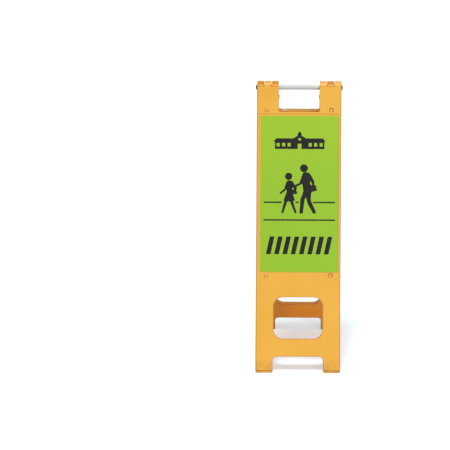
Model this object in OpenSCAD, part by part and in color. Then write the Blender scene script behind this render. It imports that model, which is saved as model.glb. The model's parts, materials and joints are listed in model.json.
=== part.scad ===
// School zone sign: a folding A-frame stand of two hollow moulded panels.
// The panels are one moulding used twice, the second one turned round. Their knuckles mesh
// on one tube, which is the hinge pin and, between the posts, the carry handle.
// X runs along the hinge, -Y is the front, +Z is up, and the origin is on the floor under the hinge.

/* [Sign sheet] */
// Width of the reflective sheet
sheet_w = 304.8; // [280:0.4:340]
// Height of the reflective sheet
sheet_h = 609.6; // [560:0.8:680]
// Thickness of the reflective sheet
sheet_t = 0.8; // [0.5:0.1:1.2]
// Depth of the recess that the sheet lies in
recess_d = 2; // [1.4:0.1:3]
// Room beside the sheet on the left
recess_left = 5.9; // [2:0.1:9]
// Room beside the sheet on the right
recess_right = 0.3; // [0.2:0.1:2]
// Room above the sheet
recess_over = 8; // [4:0.5:12]
// Room below the sheet
recess_under = 1.4; // [0.4:0.1:4]
// Radius in the recess's corners
recess_r = 4; // [2:0.5:8]
// Thickness of the cut black film
film_t = 0.3; // [0.2:0.05:0.5]

/* [Panel] */
// Thickness of a panel
panel_t = 25; // [23:0.5:30]
// Width of the rim beside the recess
rim_w = 9.5; // [8:0.5:14]
// Wall of the hollow moulding
wall_t = 3; // [2:0.25:3.5]
// Height of the rail between the notch and the recess
rail_h = 8; // [6:0.5:12]
// Height of the band between the recess and the window
band_h = 97.5; // [80:0.5:120]
// Height of the window
window_h = 162.5; // [130:0.5:190]
// Height of the crosspiece between the window and the arch
cross_h = 68.5; // [50:0.5:90]
// Height of the arch, from the floor
arch_h = 63.5; // [50:0.5:80]
// Width of a leg beside the window
leg_w = 69; // [60:0.5:80]
// Width of a foot beside the arch
foot_w = 66; // [56:0.5:76]
// Radius in the window's corners
window_r = 36; // [24:1:44]
// Radius in the arch's corners
arch_r = 16; // [8:1:22]
// Radius of the foot's outer corner
foot_r = 10; // [5:0.5:14]
// Radius along the panel's long edges
edge_r = 4.5; // [2:0.25:6]
// Height of the foot's bead below its groove
groove_up = 8.5; // [6:0.5:12]
// Width of the foot's groove
groove_w = 2.4; // [1:0.1:3]
// Depth of the foot's groove
groove_d = 1.4; // [0.6:0.1:1.8]

/* [Posts and notch] */
// Depth of the hand notch below the hinge axis
notch_d = 98; // [80:1:120]
// Width of a post
post_w = 84.5; // [76:0.5:92]
// Radius in the notch's bottom corners
notch_r = 6; // [4:0.5:18]
// Distance of the side lugs below the hinge axis
lug_down = 43; // [30:1:60]
// Radius of a side lug
lug_r = 5; // [3.5:0.25:7]
// How far a side lug stands out
lug_out = 3.5; // [2:0.25:4.5]
// Radius of the hollow curve beside a side lug
lug_hollow_r = 4; // [2:0.5:6]

/* [Hinge] */
// Lean of each panel from upright, in degrees
lean = 13.5; // [9:0.5:18]
// Gap from a panel's inner face to the hinge plane
fold_gap = 0.75; // [0.5:0.05:1.5]
// Gap between neighbouring knuckles
knuckle_gap = 1.9; // [1:0.1:3]
// Radius of a knuckle's top corners
knuckle_r = 5.5; // [3:0.25:8]
// Wall of the knuckle's barrel round the tube
barrel_wall = 3.8; // [3:0.1:5]
// Clearance between a barrel and the other panel's cradle
cradle_gap = 1; // [0.6:0.1:1.6]
// Length of the stop nose that bears on the other panel
stop_reach = 7; // [4:0.25:8]
// Thickness of the stop nose
stop_t = 8; // [5:0.25:9]
// Gap under the stop nose when the stand is open
stop_gap = 0.1; // [0.05:0.05:0.3]

/* [Hinge tube] */
// Outside diameter of the tube
tube_d = 17.2; // [16:0.1:19]
// Wall of the tube
tube_wall = 2.3; // [1.6:0.1:3]
// Radial clearance of the tube in the knuckles
tube_fit = 0.1; // [0.05:0.01:0.1]
// Diameter of an end plug's head
head_d = 20.5; // [20:0.25:24]
// Thickness of an end plug's head at its rim
head_rim = 2.2; // [1.5:0.1:3]
// Height of the dome on an end plug's head
head_dome = 3.3; // [2:0.1:4]
// Gap between an end plug's head and the knuckle
head_gap = 0.4; // [0.3:0.05:0.8]
// Length of an end plug's shank in the tube
shank_l = 18; // [12:0.5:26]
// Depth of the grooves between the shank's ribs
rib_d = 0.9; // [0.5:0.1:1.4]
// Number of ribs on the shank
rib_n = 4; // [3:1:6]

/* [Fill plug] */
// Distance of the fill plug from the panel's middle
fill_x = 57; // [45:1:62]
// Diameter of the fill plug's head
fill_head_d = 20; // [18:0.25:21]
// Thickness of the fill plug's head
fill_head_t = 2.4; // [1.8:0.1:3]
// Depth of the seat that the head lies in
fill_seat_d = 2; // [1.4:0.1:2.6]
// Clearance round the head in its seat
fill_seat_gap = 0.3; // [0.2:0.05:0.6]
// Diameter of the filling bore
fill_bore_d = 15.4; // [13:0.2:16]
// Radial clearance of the plug in the bore
fill_fit = 0.08; // [0.05:0.01:0.12]
// Length of the neck below the notch's floor
fill_neck_l = 12; // [9:0.5:16]
// Length of the plug's skirt
fill_skirt_l = 9; // [7:0.5:12]
// Wall of the plug's skirt
fill_skirt_t = 1.6; // [1.2:0.1:2.2]
// Width of the coin slot in the head
fill_slot_w = 1.8; // [1.2:0.1:2.4]
// Length of the coin slot in the head
fill_slot_l = 13; // [9:0.5:15]
// Depth of the coin slot in the head
fill_slot_d = 1.1; // [0.6:0.1:1.4]

/* [Moulded marks] */
// Diameter of a stacking nub at its foot
nub_d = 19.4; // [16:0.2:22]
// Diameter of a stacking nub's flat top
nub_top_d = 10; // [7:0.2:12]
// Height of a stacking nub
nub_h = 3; // [2:0.1:4]
// Clearance of a nub in a dimple
nub_gap = 0.5; // [0.3:0.05:1]
// Distance of the nubs and dimples from the panel's middle
nub_x = 125.6; // [110:0.2:132]
// Distance of the upper nub above the sheet's edge
nub_over = 23; // [20:0.5:30]
// Distance of the lower nub below the sheet's edge
nub_under = 12.8; // [11.6:0.2:20]
// Diameter of a weld cone at the inner face
weld_d = 34; // [28:0.5:40]
// Diameter of a weld cone at its bottom
weld_bottom_d = 16; // [12:0.5:20]
// Thickness left where both walls weld
weld_t = 4.6; // [4:0.1:6]
// Number of weld cones down the sheet's back
weld_rows = 4; // [2:1:5]
// Distance of the weld cones from the panel's middle
weld_x = 88; // [70:1:100]

/* [Print] */
// Width of the schoolhouse
school_w = 205; // [150:1:240]
// Height of the schoolhouse
school_h = 69; // [50:1:80]
// Height of the tall pupil
tall_h = 192; // [160:1:210]
// Height of the small pupil
small_h = 159; // [130:1:170]
// Thickness of a crossing line
line_t = 5.4; // [4:0.1:8]
// Space from a line's end to the sheet's edge
line_margin = 13; // [8:0.5:20]
// Width of the row of crossing bars
bars_w = 258; // [200:1:270]
// Height of the crossing bars
bars_h = 69; // [50:1:80]
// Number of crossing bars
bars_n = 8; // [5:1:12]

/* [Hidden] */
$fn = 64;

// Every cut runs past the face that it opens by this much
over = 20;

// Widths, from the sheet outwards
recess_w = recess_left + sheet_w + recess_right;
panel_w = recess_w + 2 * rim_w;
half_w = panel_w / 2;
sheet_x = (recess_left - recess_right) / 2;
notch_w = panel_w - 2 * post_w;
window_w = panel_w - 2 * leg_w;
arch_w = panel_w - 2 * foot_w;

// Levels, measured down the panel from the hinge axis
recess_top = notch_d + rail_h;
sheet_top = recess_top + recess_over;
sheet_mid = sheet_top + sheet_h / 2;
sheet_bottom = sheet_top + sheet_h;
recess_bottom = sheet_bottom + recess_under;
window_top = recess_bottom + band_h;
window_bottom = window_top + window_h;
arch_top = window_bottom + cross_h;
panel_len = arch_top + arch_h;

// Depths, measured outwards from the hinge plane
outer = fold_gap + panel_t;
mid = fold_gap + panel_t / 2;
recess_floor = outer - recess_d;
sheet_face = recess_floor + sheet_t;

// The outer face's lower edge stands on the floor
hinge_h = panel_len * cos(lean) - outer * sin(lean);

// Hinge radii
bore_r = tube_d / 2 + tube_fit;
barrel_r = tube_d / 2 + barrel_wall;
cradle_r = barrel_r + cradle_gap;
stop_len = cradle_r + stop_reach;
knuckle_w = (post_w - 2 * knuckle_gap) / 3;
knuckle_pitch = knuckle_w + knuckle_gap;
post_in = notch_w / 2;

// Side lugs: how deep their middle lies in the post, and how far the hollow curves reach
lug_in = lug_r - lug_out;
lug_reach = sqrt(pow(lug_r + lug_hollow_r, 2) - pow(lug_in + lug_hollow_r, 2));

// Filling neck
neck_r = fill_bore_d / 2 + wall_t;

// Places on the sheet, as shares of its width and height from its middle
school_y_share = 0.288;
pupils_y_share = -0.125;
tall_x_share = 0.057;
small_x_share = -0.139;
far_line_y_share = -0.054;
near_line_y_share = -0.167;
bars_y_share = -0.386;
// Ends of the far line's stretches, which leave the pupils' legs free
far_line_shares = [[-0.5, -0.245], [-0.052, -0.007], [0.191, 0.5]];

// Outline of the tall pupil, with the bag in the far hand, as shares of its height from between
// its feet, and the gap between the far arm and the coat
tall_head_share = [0, 0.92, 0.08];
tall_outline_shares = [
    [-0.015, 0.83], [0.04, 0.845], [0.11, 0.82], [0.155, 0.76], [0.215, 0.64], [0.205, 0.59],
    [0.235, 0.58], [0.27, 0.47], [0.155, 0.435], [0.145, 0.385], [0.14, 0.27], [0.175, 0.19],
    [0.255, 0.02], [0.195, -0.01], [0.075, 0.205], [0.05, 0.305], [0.035, 0.325], [0.02, 0.29],
    [0.005, 0.205], [-0.02, 0], [-0.09, 0], [-0.075, 0.175], [-0.07, 0.29], [-0.03, 0.39],
    [-0.01, 0.455], [-0.015, 0.51], [-0.03, 0.59], [-0.05, 0.605], [-0.08, 0.575], [-0.16, 0.55],
    [-0.17, 0.585], [-0.09, 0.62], [-0.055, 0.73], [-0.035, 0.785]
];
tall_gap_shares = [[0.115, 0.665], [0.165, 0.61], [0.16, 0.565], [0.135, 0.59]];

// Outline of the small pupil, with its bag and skirt, in the same way
small_head_share = [0, 0.91, 0.088];
small_outline_shares = [
    [-0.035, 0.795], [0.01, 0.815], [0.075, 0.8], [0.105, 0.785], [0.14, 0.72], [0.2, 0.665],
    [0.205, 0.625], [0.185, 0.59], [0.22, 0.48], [0.12, 0.475], [0.115, 0.455], [0.16, 0.32],
    [0.11, 0.305], [0.2, 0.015], [0.155, 0], [0.04, 0.28], [0.005, 0.3], [-0.035, 0.28],
    [-0.13, 0], [-0.175, 0.015], [-0.105, 0.3], [-0.12, 0.32], [-0.085, 0.42], [-0.045, 0.54],
    [-0.055, 0.595], [-0.09, 0.55], [-0.2, 0.47], [-0.22, 0.505], [-0.11, 0.6], [-0.085, 0.685],
    [-0.06, 0.76]
];
small_gap_shares = [[0.1, 0.64], [0.125, 0.635], [0.13, 0.6], [0.115, 0.58], [0.09, 0.585]];

// Right half of the schoolhouse's outline, as shares of its width and height from the middle of
// its base: the turret, the hall's roof, then the wing
school_half_shares = [
    [0, 1], [0.035, 0.88], [0.035, 0.757], [0.122, 0.6],
    [0.44, 0.6], [0.5, 0.42], [0.47, 0.42], [0.47, 0]
];
school_window_xs_share = [0.2, 0.305, 0.41];
school_window_share = [0.06, 0.2];
school_window_up_share = 0.24;
school_door_share = [0.07, 0.3];
school_clock_share = 0.16;
school_clock_up_share = 0.55;
// A crossing bar's width as a share of the pitch, and its slant as a share of its height
bar_w_share = 0.56;
bar_slant_share = 0.22;

// Places a panel and what lies on it at the front, and turned round at the rear
module at_front() {
    translate([0, 0, hinge_h])
        rotate([-lean, 0, 0])
            children();
}

module at_rear() {
    rotate([0, 0, 180])
        at_front()
            children();
}

// Gives a drawing of the face a thickness, from one depth outwards
module face_extrude(depth, thickness) {
    translate([0, -depth, 0])
        rotate([90, 0, 0])
            linear_extrude(height = thickness)
                children();
}

// Gives a drawing of the side a width, from one place along the hinge
module side_extrude(from_x, width) {
    translate([from_x, 0, 0])
        rotate([90, 0, 90])
            linear_extrude(height = width)
                children();
}

module round_rect(w, h, r) {
    union() {
        square([w - 2 * r, h], center = true);
        square([w, h - 2 * r], center = true);
        for (x = [-1, 1], y = [-1, 1])
            translate([x * (w / 2 - r), y * (h / 2 - r)])
                circle(r);
    }
}

// Takes the sharp corner off a square corner that lies at the origin
module corner_cut(r) {
    difference() {
        translate([-over, -over])
            square(r + over);
        translate([r, r])
            circle(r);
    }
}

// The right-hand post's side lug, with a hollow curve above and below it
module lug_face() {
    touch_share = lug_r / (lug_r + lug_hollow_r);
    touch_in = lug_in - touch_share * (lug_in + lug_hollow_r);
    touch_up = touch_share * lug_reach;
    translate([post_in, -lug_down]) {
        translate([lug_in, 0])
            circle(lug_r);
        difference() {
            polygon([
                [lug_in, lug_reach], [0, lug_reach], [touch_in, touch_up],
                [touch_in, -touch_up], [0, -lug_reach], [lug_in, -lug_reach]
            ]);
            for (side = [-1, 1])
                translate([-lug_hollow_r, side * lug_reach])
                    circle(lug_hollow_r);
        }
    }
}

// The panel's face without knuckles
module panel_face() {
    for (side = [0, 1])
        mirror([side, 0])
            lug_face();
    difference() {
        translate([-half_w, -panel_len - over])
            square([panel_w, panel_len + over]);
        translate([0, (over - notch_d) / 2])
            round_rect(notch_w, notch_d + over, notch_r);
        translate([0, -(window_top + window_bottom) / 2])
            round_rect(window_w, window_h, window_r);
        translate([0, -arch_top - arch_h])
            round_rect(arch_w, 2 * arch_h, arch_r);
        for (side = [0, 1])
            mirror([side, 0])
                translate([-half_w, -panel_len])
                    corner_cut(foot_r);
    }
}

// The hollow inside the walls, as drawn on the face
module hollow_face() {
    translate([-half_w + wall_t, -window_top + wall_t])
        square([panel_w - 2 * wall_t, window_top - notch_d - 2 * wall_t]);
    for (side = [0, 1])
        mirror([side, 0]) {
            translate([post_in + wall_t, -notch_d - 2 * wall_t])
                square([post_w - 2 * wall_t, notch_d + wall_t - cradle_r]);
            translate([window_w / 2 + wall_t, -arch_top - wall_t])
                square([leg_w - 2 * wall_t, arch_top - window_top + 3 * wall_t]);
            translate([arch_w / 2 + wall_t, -panel_len + 4 * wall_t])
                square([foot_w - 2 * wall_t, arch_h]);
        }
    translate([-arch_w / 2, -arch_top + wall_t])
        square([arch_w, cross_h - 2 * wall_t]);
}

// Places of the weld cones that tie the two walls together
function weld_places() = concat(
    [for (x = [-1, 1], row = [0:weld_rows - 1])
        [x * weld_x, -sheet_top - sheet_h * (row + 0.5) / weld_rows]],
    [for (x = [-1, 1])
        [x * (half_w - leg_w / 2), -(window_top + window_bottom) / 2]]
);

// A cone from the inner face outwards, with its mouth run past that face
module weld_cone(grow, depth) {
    rotate([90, 0, 0]) {
        translate([0, 0, -over])
            cylinder(h = fold_gap + over, d = weld_d + grow);
        translate([0, 0, fold_gap])
            cylinder(h = depth, d1 = weld_d + grow, d2 = weld_bottom_d + grow);
    }
}

module weld_cones(grow, depth) {
    for (place = weld_places())
        translate([place[0], 0, place[1]])
            weld_cone(grow, depth);
}

module hollow() {
    difference() {
        face_extrude(fold_gap + wall_t, recess_floor - fold_gap - 2 * wall_t)
            hollow_face();
        weld_cones(2 * wall_t, recess_floor - fold_gap);
        translate([fill_x, -mid, -notch_d - fill_neck_l])
            cylinder(h = fill_neck_l, r = neck_r);
    }
}

// One knuckle in section: the outer quarter, the barrel and the nose that stops the opening
module knuckle_side() {
    intersection() {
        circle(outer, $fn = 128);
        translate([-outer, 0])
            square(outer);
    }
    circle(barrel_r);
    rotate(2 * lean)
        translate([0, stop_gap]) {
            square([stop_len - stop_t / 2, stop_t]);
            translate([stop_len - stop_t / 2, stop_t / 2])
                circle(d = stop_t);
        }
}

module knuckle_front(x) {
    translate([x, -barrel_r - over])
        square([knuckle_w, barrel_r + over + outer - knuckle_r]);
    translate([x + knuckle_r, outer - knuckle_r])
        square([knuckle_w - 2 * knuckle_r, knuckle_r]);
    for (at = [knuckle_r, knuckle_w - knuckle_r])
        translate([x + at, outer - knuckle_r])
            circle(knuckle_r);
}

module knuckle(x) {
    intersection() {
        side_extrude(x, knuckle_w)
            knuckle_side();
        face_extrude(-outer - over, 2 * (outer + over))
            knuckle_front(x);
    }
}

// Left edges of this panel's knuckles, and of the places that the other panel's fill
own_knuckles = [-half_w + knuckle_pitch, post_in, post_in + 2 * knuckle_pitch];
other_knuckles = [-half_w, -half_w + 2 * knuckle_pitch, post_in + knuckle_pitch];

// Rounds the end knuckle's outer edge as the long edge below it is rounded
module end_round() {
    intersection() {
        rotate([0, 90, 0])
            rotate_extrude($fn = 128)
                translate([outer, half_w])
                    rotate(180)
                        corner_cut(edge_r);
        translate([0, -outer - over, 0])
            cube([half_w + over, outer + over, outer + over]);
    }
}

// The round seat that clears one of the other panel's knuckles
module cradle(x) {
    translate([x - knuckle_gap, 0, 0])
        rotate([0, 90, 0])
            cylinder(h = knuckle_w + 2 * knuckle_gap, r = cradle_r);
}

module edge_rounds() {
    for (x = [0, 1], y = [0, 1])
        mirror([x, 0, 0])
            translate([-half_w, y == 0 ? -outer : -fold_gap, -panel_len - over])
                mirror([0, y, 0])
                    linear_extrude(height = panel_len + over)
                        corner_cut(edge_r);
}

module stacking_marks() {
    for (down = [sheet_top - nub_over, sheet_bottom + nub_under])
        translate([-nub_x, -outer, -down])
            rotate([90, 0, 0])
                cylinder(h = nub_h, d1 = nub_d, d2 = nub_top_d);
}

module stacking_dimples() {
    for (down = [sheet_top - nub_over, sheet_bottom + nub_under])
        translate([nub_x, -outer, -down])
            rotate([-90, 0, 0])
                cylinder(h = nub_h, d1 = nub_d + nub_gap, d2 = nub_top_d + nub_gap);
}

module panel() {
    color("darkorange")
        difference() {
            union() {
                difference() {
                    face_extrude(fold_gap, panel_t)
                        panel_face();
                    for (x = other_knuckles)
                        cradle(x);
                    edge_rounds();
                    hollow();
                    weld_cones(0, recess_floor - fold_gap - weld_t);
                }
                for (x = own_knuckles)
                    knuckle(x);
                stacking_marks();
            }
            stacking_dimples();
            end_round();
            // recess for the sheet
            translate([0, 0, -(recess_top + recess_bottom) / 2])
                face_extrude(recess_floor, over)
                    round_rect(recess_w, recess_bottom - recess_top, recess_r);
            // groove above the foot's bead
            for (side = [-1, 1])
                translate([side * (half_w - foot_w / 2), -outer, -panel_len + groove_up])
                    cube([foot_w + over, 2 * groove_d, groove_w], center = true);
            // bore for the tube
            translate([-half_w - over, 0, 0])
                rotate([0, 90, 0])
                    cylinder(h = panel_w + 2 * over, r = bore_r);
            // filling port and the seat of its plug
            translate([fill_x, -mid, -notch_d]) {
                translate([0, 0, -fill_neck_l - wall_t])
                    cylinder(h = fill_neck_l + wall_t + over, d = fill_bore_d);
                translate([0, 0, -fill_seat_d])
                    cylinder(h = fill_seat_d + over, d = fill_head_d + 2 * fill_seat_gap);
            }
            // the feet are cut level with the floor
            rotate([lean, 0, 0])
                translate([-panel_w, -panel_len, -hinge_h - panel_len])
                    cube([2 * panel_w, 2 * panel_len, panel_len]);
        }
}

module fill_plug() {
    color("ivory")
        translate([fill_x, -mid, -notch_d - fill_seat_d])
            difference() {
                union() {
                    cylinder(h = fill_head_t, d = fill_head_d);
                    translate([0, 0, -fill_skirt_l])
                        cylinder(h = fill_skirt_l, r = fill_bore_d / 2 - fill_fit);
                }
                translate([0, 0, -fill_skirt_l - over])
                    cylinder(h = fill_skirt_l + over, r = fill_bore_d / 2 - fill_fit - fill_skirt_t);
                translate([-fill_slot_l / 2, -fill_slot_w / 2, fill_head_t - fill_slot_d])
                    cube([fill_slot_l, fill_slot_w, over]);
            }
}

module sheet() {
    color("yellowgreen")
        face_extrude(recess_floor, sheet_t)
            translate([sheet_x, -sheet_mid])
                square([sheet_w, sheet_h], center = true);
}

// Draws in black film on the sheet, from the sheet's middle
module film() {
    color("black")
        face_extrude(sheet_face, film_t)
            translate([sheet_x, -sheet_mid])
                children();
}

module shape(shares, size) {
    polygon([for (point = shares) [point[0] * size[0], point[1] * size[1]]]);
}

module school_window() {
    square([school_window_share[0] * school_w, school_window_share[1] * school_h], center = true);
}

// The door, with its lower half run past the base
module school_door() {
    square([school_door_share[0] * school_w, 2 * school_door_share[1] * school_h], center = true);
}

module schoolhouse() {
    size = [school_w, school_h];
    corners = len(school_half_shares);
    outline_shares = concat(
        school_half_shares,
        [for (i = [corners - 1:-1:1]) [-school_half_shares[i][0], school_half_shares[i][1]]]
    );
    film()
        translate([0, school_y_share * sheet_h])
            difference() {
                shape(outline_shares, size);
                for (side = [-1, 1], x = school_window_xs_share)
                    translate([side * x * school_w, school_window_up_share * school_h])
                        school_window();
                school_door();
                translate([0, school_clock_up_share * school_h])
                    circle(d = school_clock_share * school_h);
            }
}

module pupil(head, outline, gap, height) {
    size = [height, height];
    translate([head[0] * height, head[1] * height])
        circle(head[2] * height);
    difference() {
        shape(outline, size);
        shape(gap, size);
    }
}

module pupils() {
    film() {
        translate([tall_x_share * sheet_w, pupils_y_share * sheet_h])
            pupil(tall_head_share, tall_outline_shares, tall_gap_shares, tall_h);
        translate([small_x_share * sheet_w, pupils_y_share * sheet_h])
            pupil(small_head_share, small_outline_shares, small_gap_shares, small_h);
    }
}

module crossing_line(y, ends) {
    length = sheet_w - 2 * line_margin;
    translate([ends[0] * length, y - line_t / 2])
        square([(ends[1] - ends[0]) * length, line_t]);
}

module crossing_lines() {
    film() {
        for (ends = far_line_shares)
            crossing_line(far_line_y_share * sheet_h, ends);
        crossing_line(near_line_y_share * sheet_h, [-0.5, 0.5]);
    }
}

module crossing_bars() {
    pitch = bars_w / bars_n;
    slant = bar_slant_share * bars_h;
    width = bar_w_share * pitch;
    film()
        translate([-(bars_w - pitch + width + slant) / 2, bars_y_share * sheet_h])
            for (i = [0:bars_n - 1])
                translate([i * pitch, 0])
                    polygon([[0, 0], [width, 0], [width + slant, bars_h], [slant, bars_h]]);
}

module hinge_tube() {
    color("gainsboro")
        translate([-half_w, 0, hinge_h])
            rotate([0, 90, 0])
                difference() {
                    cylinder(h = panel_w, d = tube_d);
                    translate([0, 0, -over])
                        cylinder(h = panel_w + 2 * over, r = tube_d / 2 - tube_wall);
                }
}

// The plug for the right end, with a domed head and a ribbed shank
module end_plug() {
    shank_r = tube_d / 2 - tube_wall;
    rib_pitch = shank_l / rib_n;
    sphere_r = (pow(head_d / 2, 2) + pow(head_dome, 2)) / (2 * head_dome);
    color("saddlebrown")
        translate([half_w, 0, hinge_h])
            rotate([0, 90, 0]) {
                translate([0, 0, head_gap]) {
                    cylinder(h = head_rim, d = head_d);
                    translate([0, 0, head_rim])
                        intersection() {
                            translate([0, 0, head_dome - sphere_r])
                                sphere(sphere_r);
                            cylinder(h = head_dome, d = head_d);
                        }
                }
                translate([0, 0, -shank_l])
                    cylinder(h = shank_l + head_gap, r = shank_r - rib_d);
                for (i = [0:rib_n - 1])
                    translate([0, 0, -shank_l + i * rib_pitch])
                        cylinder(h = rib_pitch / 2, r = shank_r);
            }
}

at_front() panel();  // front_panel
at_rear() panel();  // rear_panel
hinge_tube();
rotate([0, 0, 180]) end_plug();  // left_end_plug
end_plug();  // right_end_plug
at_front() fill_plug();  // front_fill_plug
at_rear() fill_plug();  // rear_fill_plug
at_front() sheet();  // front_sheet
at_rear() sheet();  // rear_sheet
at_front() schoolhouse();  // front_schoolhouse
at_front() pupils();  // front_pupils
at_front() crossing_lines();  // front_crossing_lines
at_front() crossing_bars();  // front_crossing_bars
at_rear() schoolhouse();  // rear_schoolhouse
at_rear() pupils();  // rear_pupils
at_rear() crossing_lines();  // rear_crossing_lines
at_rear() crossing_bars();  // rear_crossing_bars
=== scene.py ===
# %% [markdown]
# # A folding school zone sign
# The real stand is two hollow panels of orange plastic that lean on each other like a tent.
# Both come out of one mould. Their knuckles mesh on a pale tube, which is the hinge pin and, between
# the posts, the carry handle. A green reflective sheet with cut black film lies in each recess.
#
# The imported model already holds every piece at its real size, so it is loaded as a fixed frame.
# The cells below give each piece the edges, seams and finish that the mould or the cutter leaves.

import json
import math

import bmesh
import bpy
from mathutils import Matrix, Vector


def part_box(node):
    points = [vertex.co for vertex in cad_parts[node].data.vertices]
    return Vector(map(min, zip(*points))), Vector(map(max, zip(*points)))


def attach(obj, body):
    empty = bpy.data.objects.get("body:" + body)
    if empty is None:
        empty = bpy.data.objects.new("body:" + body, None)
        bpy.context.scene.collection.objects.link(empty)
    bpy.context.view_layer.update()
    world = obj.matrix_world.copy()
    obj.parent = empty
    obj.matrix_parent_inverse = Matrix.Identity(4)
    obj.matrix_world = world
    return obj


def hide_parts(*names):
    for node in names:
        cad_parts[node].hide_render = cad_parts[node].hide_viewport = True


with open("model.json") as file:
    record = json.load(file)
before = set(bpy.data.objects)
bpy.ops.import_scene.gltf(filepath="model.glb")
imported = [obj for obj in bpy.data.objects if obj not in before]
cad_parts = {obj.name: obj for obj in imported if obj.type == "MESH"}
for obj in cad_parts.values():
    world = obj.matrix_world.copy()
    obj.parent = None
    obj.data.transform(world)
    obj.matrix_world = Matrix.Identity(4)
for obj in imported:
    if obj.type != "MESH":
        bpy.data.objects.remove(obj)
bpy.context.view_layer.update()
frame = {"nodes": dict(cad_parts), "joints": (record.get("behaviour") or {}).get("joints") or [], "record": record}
MM = 0.001

# %% [markdown]
# ## The camera
# The camera comes first, so that any later render already shows the right view.
# A long lens from about five metres away gives the nearly parallel edges of a catalogue picture.
# The stand is right of the middle there, which a small shift of the lens gives without turning it.

# %% Camera
FRAME_PX = 450
FOCAL_PX = 1222
AIM_PX = (298.5, 222.7)
SENSOR_MM = 36
CAMERA_FAR = 4.92
CAMERA_UP = math.radians(13.1)
CAMERA_ROLL = math.radians(0.33)
AIM_BELOW_HINGE = 545 * MM


def joint_called(name):
    """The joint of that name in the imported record."""
    return next(joint for joint in frame["joints"] if joint["name"] == name)


hinge_z = joint_called("fold")["pos_m"][2]
aim = Vector((0, 0, hinge_z - AIM_BELOW_HINGE))
lens = bpy.data.cameras.new("camera")
lens.sensor_width = SENSOR_MM
lens.lens = FOCAL_PX / FRAME_PX * SENSOR_MM
lens.shift_x = 0.5 - AIM_PX[0] / FRAME_PX
lens.shift_y = AIM_PX[1] / FRAME_PX - 0.5
camera = bpy.data.objects.new("camera", lens)
away = Vector((0, -math.cos(CAMERA_UP), math.sin(CAMERA_UP)))
tilt = Matrix.Rotation(math.pi / 2 - CAMERA_UP, 4, "X")
stood_at = Matrix.Translation(aim + CAMERA_FAR * away)
camera.matrix_world = stood_at @ tilt @ Matrix.Rotation(CAMERA_ROLL, 4, "Z")
bpy.context.scene.collection.objects.link(camera)
bpy.context.scene.camera = camera
print("Lens in mm:", round(lens.lens, 1))

# %% [markdown]
# ## Working on a panel upright
# A panel leans in the stand, which makes its edges awkward to pick by place. Each panel is turned
# upright for the work, with the hinge at the origin, and is put back into its lean afterwards.
# The fold joint says how far the legs close, and each panel leans by half of that angle.

# %% Upright place
lean = math.radians(-joint_called("fold")["range_deg"][0]) / 2
TURNS = {"front": 0, "rear": math.pi}
BODIES = {"front": "front_leg", "rear": "rear_leg"}


def lean_of(side):
    """Place in the stand of an upright panel whose hinge is at the origin and whose face is at -Y."""
    turned = Matrix.Rotation(TURNS[side], 4, "Z")
    return turned @ Matrix.Translation((0, 0, hinge_z)) @ Matrix.Rotation(-lean, 4, "X")


print("Lean of a panel in degrees:", round(math.degrees(lean), 2))

# %% [markdown]
# ## Copies with whole faces
# A CAD mesh is loose triangles. A copy can be reworked once its doubles are merged and its flat
# faces are joined again, because a bevel along a triangulated face would run into the diagonals.

# %% Copy of a node
WELD = 0.001 * MM
FLAT_ANGLE = math.radians(0.5)


def node_copy(node, side=None):
    """The node's mesh as a bmesh with whole flat faces, turned upright if it is part of a panel."""
    mesh = frame["nodes"][node].data.copy()
    mesh.attributes.remove(mesh.attributes["custom_normal"])
    copy = bmesh.new()
    copy.from_mesh(mesh)
    bpy.data.meshes.remove(mesh)
    bmesh.ops.remove_doubles(copy, verts=copy.verts, dist=WELD)
    if side:
        copy.transform(lean_of(side).inverted())
    bmesh.ops.dissolve_limit(copy, angle_limit=FLAT_ANGLE, verts=copy.verts, edges=copy.edges)
    for face in copy.faces:
        face.smooth = True
    return copy


# %% [markdown]
# ## Soft edges
# Nothing that comes out of a mould has a sharp edge. The bevel operator rounds each edge that turns
# by more than a given angle, and its new faces are marked, so that the finish can show wear there.

# %% Rounded edges
CREASE = math.radians(28)
STILL_SHARP = math.radians(38)
TIP = math.radians(35)
RIM = "rim"
# The dirt attribute carries painted shade as well as dirt.
PAINTED_SHADE_AND_DIRT = "dirt"


def creased(mesh, angle=CREASE):
    """Edges of a bmesh where two faces meet at more than the angle."""
    return [edge for edge in mesh.edges if edge.is_manifold and edge.calc_face_angle() > angle]


def without_tips(edges):
    """Leaves out edges that run into a tip, where two of them leave a corner almost together."""
    picked = set(edges)
    tips = set()
    for vert in {vert for edge in edges for vert in edge.verts}:
        ways = [(edge, edge.other_vert(vert).co - vert.co) for edge in vert.link_edges if edge in picked]
        for index, (edge, way) in enumerate(ways):
            for other, other_way in ways[index + 1 :]:
                if way.angle(other_way) < TIP:
                    tips.update((edge, other))
    return [edge for edge in edges if edge not in tips]


def rounded(mesh, edges, radius, segments=3):
    """Rounds edges of a bmesh and marks the new faces with the rim attribute."""
    layer = mesh.faces.layers.float.get(RIM) or mesh.faces.layers.float.new(RIM)
    made = bmesh.ops.bevel(
        mesh,
        geom=edges,
        offset=radius,
        offset_type="OFFSET",
        affect="EDGES",
        segments=segments,
        profile=0.5,
        clamp_overlap=False,
        material=-1,
    )
    for face in made["faces"]:
        face[layer] = 1
        face.smooth = True


def add_piece(name, mesh, body, finish, node=None):
    """Turns a bmesh into a finished piece that rides on a body and may stand for a CAD node."""
    mesh.normal_update()
    for edge in creased(mesh, STILL_SHARP):
        edge.smooth = False
    data = bpy.data.meshes.new(name)
    mesh.to_mesh(data)
    mesh.free()
    piece = bpy.data.objects.new(name, data)
    bpy.context.scene.collection.objects.link(piece)
    shade = piece.modifiers.new("even shading", "WEIGHTED_NORMAL")
    shade.keep_sharp = True
    data.materials.append(finish)
    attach(piece, body)
    if node:
        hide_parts(node)
    print(name, "has", len(data.polygons), "faces")
    return piece


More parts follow.
